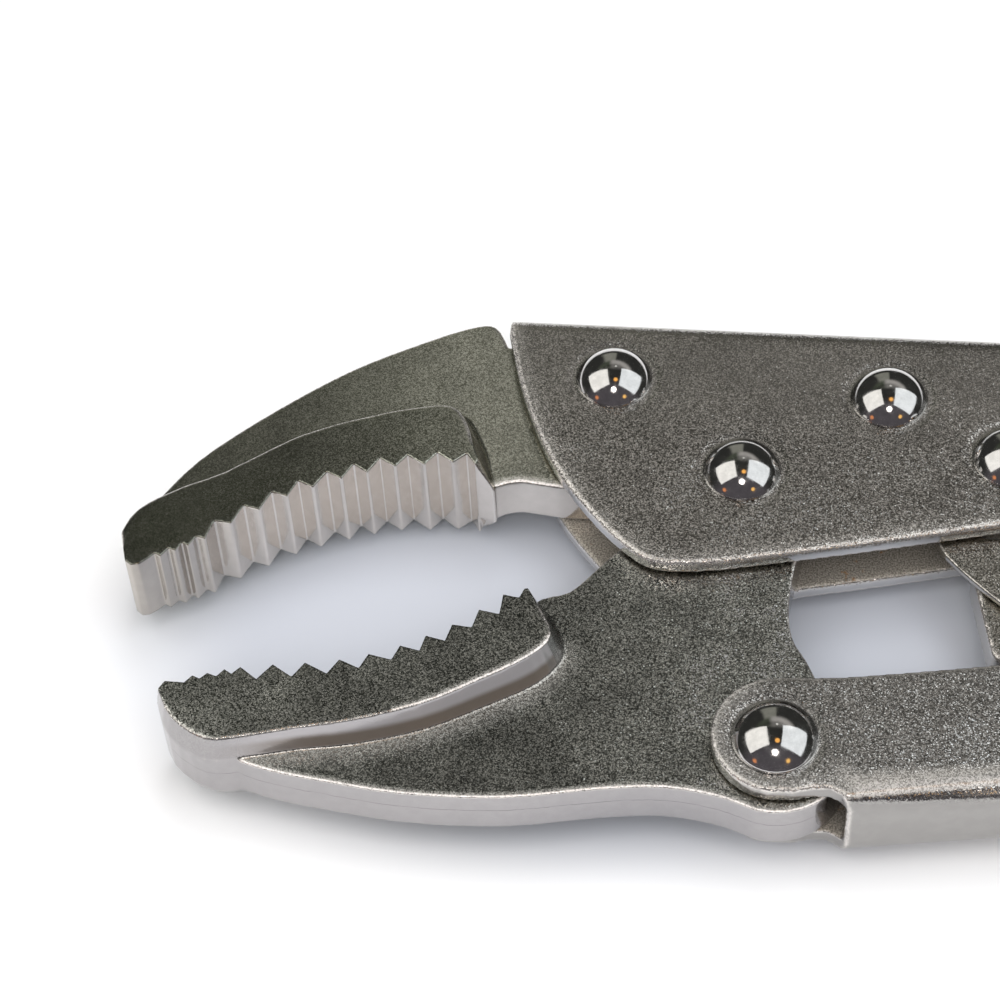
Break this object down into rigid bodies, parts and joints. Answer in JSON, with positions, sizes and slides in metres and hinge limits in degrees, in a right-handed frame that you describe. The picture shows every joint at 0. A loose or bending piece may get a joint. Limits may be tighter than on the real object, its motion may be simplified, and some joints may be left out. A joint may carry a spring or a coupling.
{
  "type": "locking pliers",
  "caption": "Curved-jaw locking pliers with folded steel handles, domed rivets, toggle link, adjusting screw, return spring and release lever.",
  "frame": {"origin": "centre of the bounding box in X and Y, at its bottom, where the rivet heads rest on the table", "axes": "+X from the jaws to the screw knob, along the back of the upper handle; +Y from the lower handle to the upper handle; +Z the thickness, away from the table"},
  "size_m": [0.2546, 0.0702, 0.0174],
  "materials": {
    "forged_jaw": "satin nickel plate over a forged, blasted surface",
    "plated_sheet": "satin nickel plate with a fine grain",
    "polished_rivet": "mirror polished",
    "stamped_link": "satin nickel plate over a stamped surface",
    "turned_screw": "turned and plated, semi-bright",
    "spring_wire": "drawn wire, semi-bright"
  },
  "bodies": {
    "upper_handle": {"upper_handle": "plated_sheet", "upper_jaw": "forged_jaw", "jaw_rivet_front": "polished_rivet", "jaw_rivet_rear": "polished_rivet", "spring_anchor_rivet": "polished_rivet", "tension_spring": "spring_wire"},
    "main_pivot": {"main_pivot_rivet": "polished_rivet"},
    "lower_jaw": {"lower_jaw": "forged_jaw"},
    "handle_pivot": {"handle_pivot_rivet": "polished_rivet"},
    "lower_handle": {"lower_handle": "plated_sheet", "link_pivot_rivet": "polished_rivet", "lever_pivot_rivet": "polished_rivet"},
    "toggle_link": {"toggle_link": "stamped_link", "link_side_plate": "stamped_link", "link_plate_rivet": "stamped_link"},
    "release_lever": {"release_lever": "stamped_link"},
    "adjusting_screw": {"adjusting_screw": "turned_screw"},
    "screw_knob": {"screw_knob": "turned_screw"}
  },
  "joints": [
    {"name": "screw_travel", "type": "slide", "parent": "upper_handle", "child": "adjusting_screw", "axis": [1, 0, 0], "range_m": [-0.0089, 0.0082]},
    {"name": "screw_turn", "type": "hinge", "parent": "adjusting_screw", "child": "screw_knob", "pos_m": [0.1128, 0.01953, 0.0087], "axis": [1, 0, 0], "range_deg": [-1620, 1500]},
    {"name": "jaw_adjust", "type": "hinge", "parent": "upper_handle", "child": "main_pivot", "pos_m": [-0.0537, 0.01153, 0.0087], "axis": [0, 0, 1], "range_deg": [-13, 12], "deforming": ["tension_spring"]},
    {"name": "jaw_fold", "type": "hinge", "parent": "main_pivot", "child": "lower_jaw", "pos_m": [-0.0537, 0.01153, 0.0087], "axis": [0, 0, 1], "range_deg": [0, 8], "deforming": ["tension_spring"]},
    {"name": "handle_adjust", "type": "hinge", "parent": "lower_jaw", "child": "handle_pivot", "pos_m": [-0.0484, -0.02627, 0.0087], "axis": [0, 0, -1], "range_deg": [-13, 12]},
    {"name": "handle_fold", "type": "hinge", "parent": "handle_pivot", "child": "lower_handle", "pos_m": [-0.0484, -0.02627, 0.0087], "axis": [0, 0, -1], "range_deg": [0, 38]},
    {"name": "link_fold", "type": "hinge", "parent": "lower_handle", "child": "toggle_link", "pos_m": [-0.0057, -0.00747, 0.0087], "axis": [0, 0, 1], "range_deg": [0, 47]},
    {"name": "release_lever_hinge", "type": "hinge", "parent": "lower_handle", "child": "release_lever", "pos_m": [0.0303, -0.01797, 0.0087], "axis": [0, 0, -1], "range_deg": [0, 5.5]}
  ],
  "couplings": [
    {"joint": "handle_fold", "follows": "link_fold", "ratio": 0.8085},
    {"joint": "jaw_fold", "follows": "link_fold", "ratio": 0.1698},
    {"joint": "screw_turn", "follows": "screw_travel", "rad_per_m": 3141.5},
    {"joint": "jaw_adjust", "follows": "screw_travel", "rad_per_m": 25.32},
    {"joint": "handle_adjust", "follows": "screw_travel", "rad_per_m": 25.32}
  ]
}
